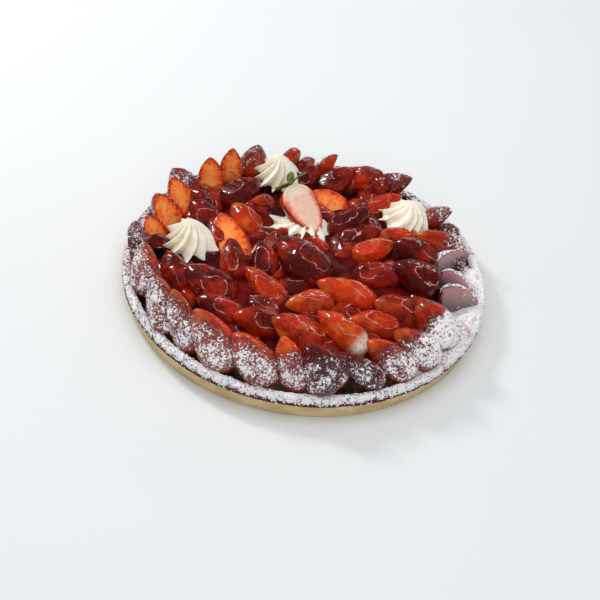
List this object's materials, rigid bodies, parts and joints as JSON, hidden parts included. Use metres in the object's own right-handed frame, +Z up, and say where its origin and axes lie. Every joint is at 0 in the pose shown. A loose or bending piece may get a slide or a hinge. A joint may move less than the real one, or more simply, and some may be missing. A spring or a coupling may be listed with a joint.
{
  "type": "strawberry tart",
  "caption": "Round shortcrust tart filled with almond cream and covered with rings of cut glazed strawberries, piped cream rosettes and a dusting of sugar",
  "frame": {"origin": "centre of the tart's underside, on the surface it stands on", "axes": "+Z up; -Y towards the side seen in the picture; the leaves of the half strawberry lie towards +Y"},
  "size_m": [0.22, 0.22, 0.0535],
  "materials": {
    "crust": "baked shortcrust, pale golden, dull, dusted with sugar on the rim",
    "almond": "baked almond cream, brown, slightly rough",
    "glazed_berry": "deep red strawberry under clear wet glaze",
    "bright_berry": "bright orange-red strawberry under clear wet glaze",
    "dusted_berry": "strawberry dusted with icing sugar",
    "cut_berry": "cut strawberry face, orange-red, wet",
    "cream": "whipped cream, ivory, satin",
    "leaf": "small fresh green leaves"
  },
  "bodies": {
    "root": {"crust": "crust", "filling": "almond", "garnish_leaves": "leaf", "garnish_half": "cut_berry", "cream_left": "cream", "cream_back": "cream", "cream_right": "cream", "cream_middle": "cream", "inner_01": "glazed_berry", "inner_02": "cut_berry", "inner_03": "bright_berry", "inner_04": "bright_berry", "inner_05": "bright_berry", "inner_06": "glazed_berry", "outer_01": "dusted_berry", "outer_02": "dusted_berry", "outer_03": "dusted_berry", "outer_04": "dusted_berry", "outer_05": "dusted_berry", "outer_06": "dusted_berry", "outer_07": "dusted_berry", "outer_08": "dusted_berry", "outer_09": "bright_berry", "outer_10": "dusted_berry", "outer_11": "dusted_berry", "outer_12": "dusted_berry", "outer_13": "dusted_berry", "outer_14": "dusted_berry", "outer_15": "bright_berry", "outer_16": "cut_berry", "outer_17": "cut_berry", "outer_18": "cut_berry", "outer_19": "dusted_berry", "outer_20": "cut_berry", "outer_21": "cut_berry", "outer_22": "dusted_berry", "outer_23": "glazed_berry", "outer_24": "bright_berry", "outer_25": "dusted_berry", "outer_26": "glazed_berry", "outer_27": "glazed_berry", "middle_01": "bright_berry", "middle_02": "bright_berry", "middle_03": "bright_berry", "middle_04": "glazed_berry", "middle_05": "glazed_berry", "middle_06": "glazed_berry", "middle_07": "glazed_berry", "middle_08": "glazed_berry", "middle_09": "glazed_berry", "middle_10": "glazed_berry", "middle_11": "bright_berry", "middle_12": "glazed_berry", "middle_13": "glazed_berry", "middle_14": "glazed_berry", "inner_07": "glazed_berry", "inner_08": "glazed_berry", "inner_09": "glazed_berry", "inner_10": "cut_berry", "inner_11": "glazed_berry"}
  },
  "joints": []
}
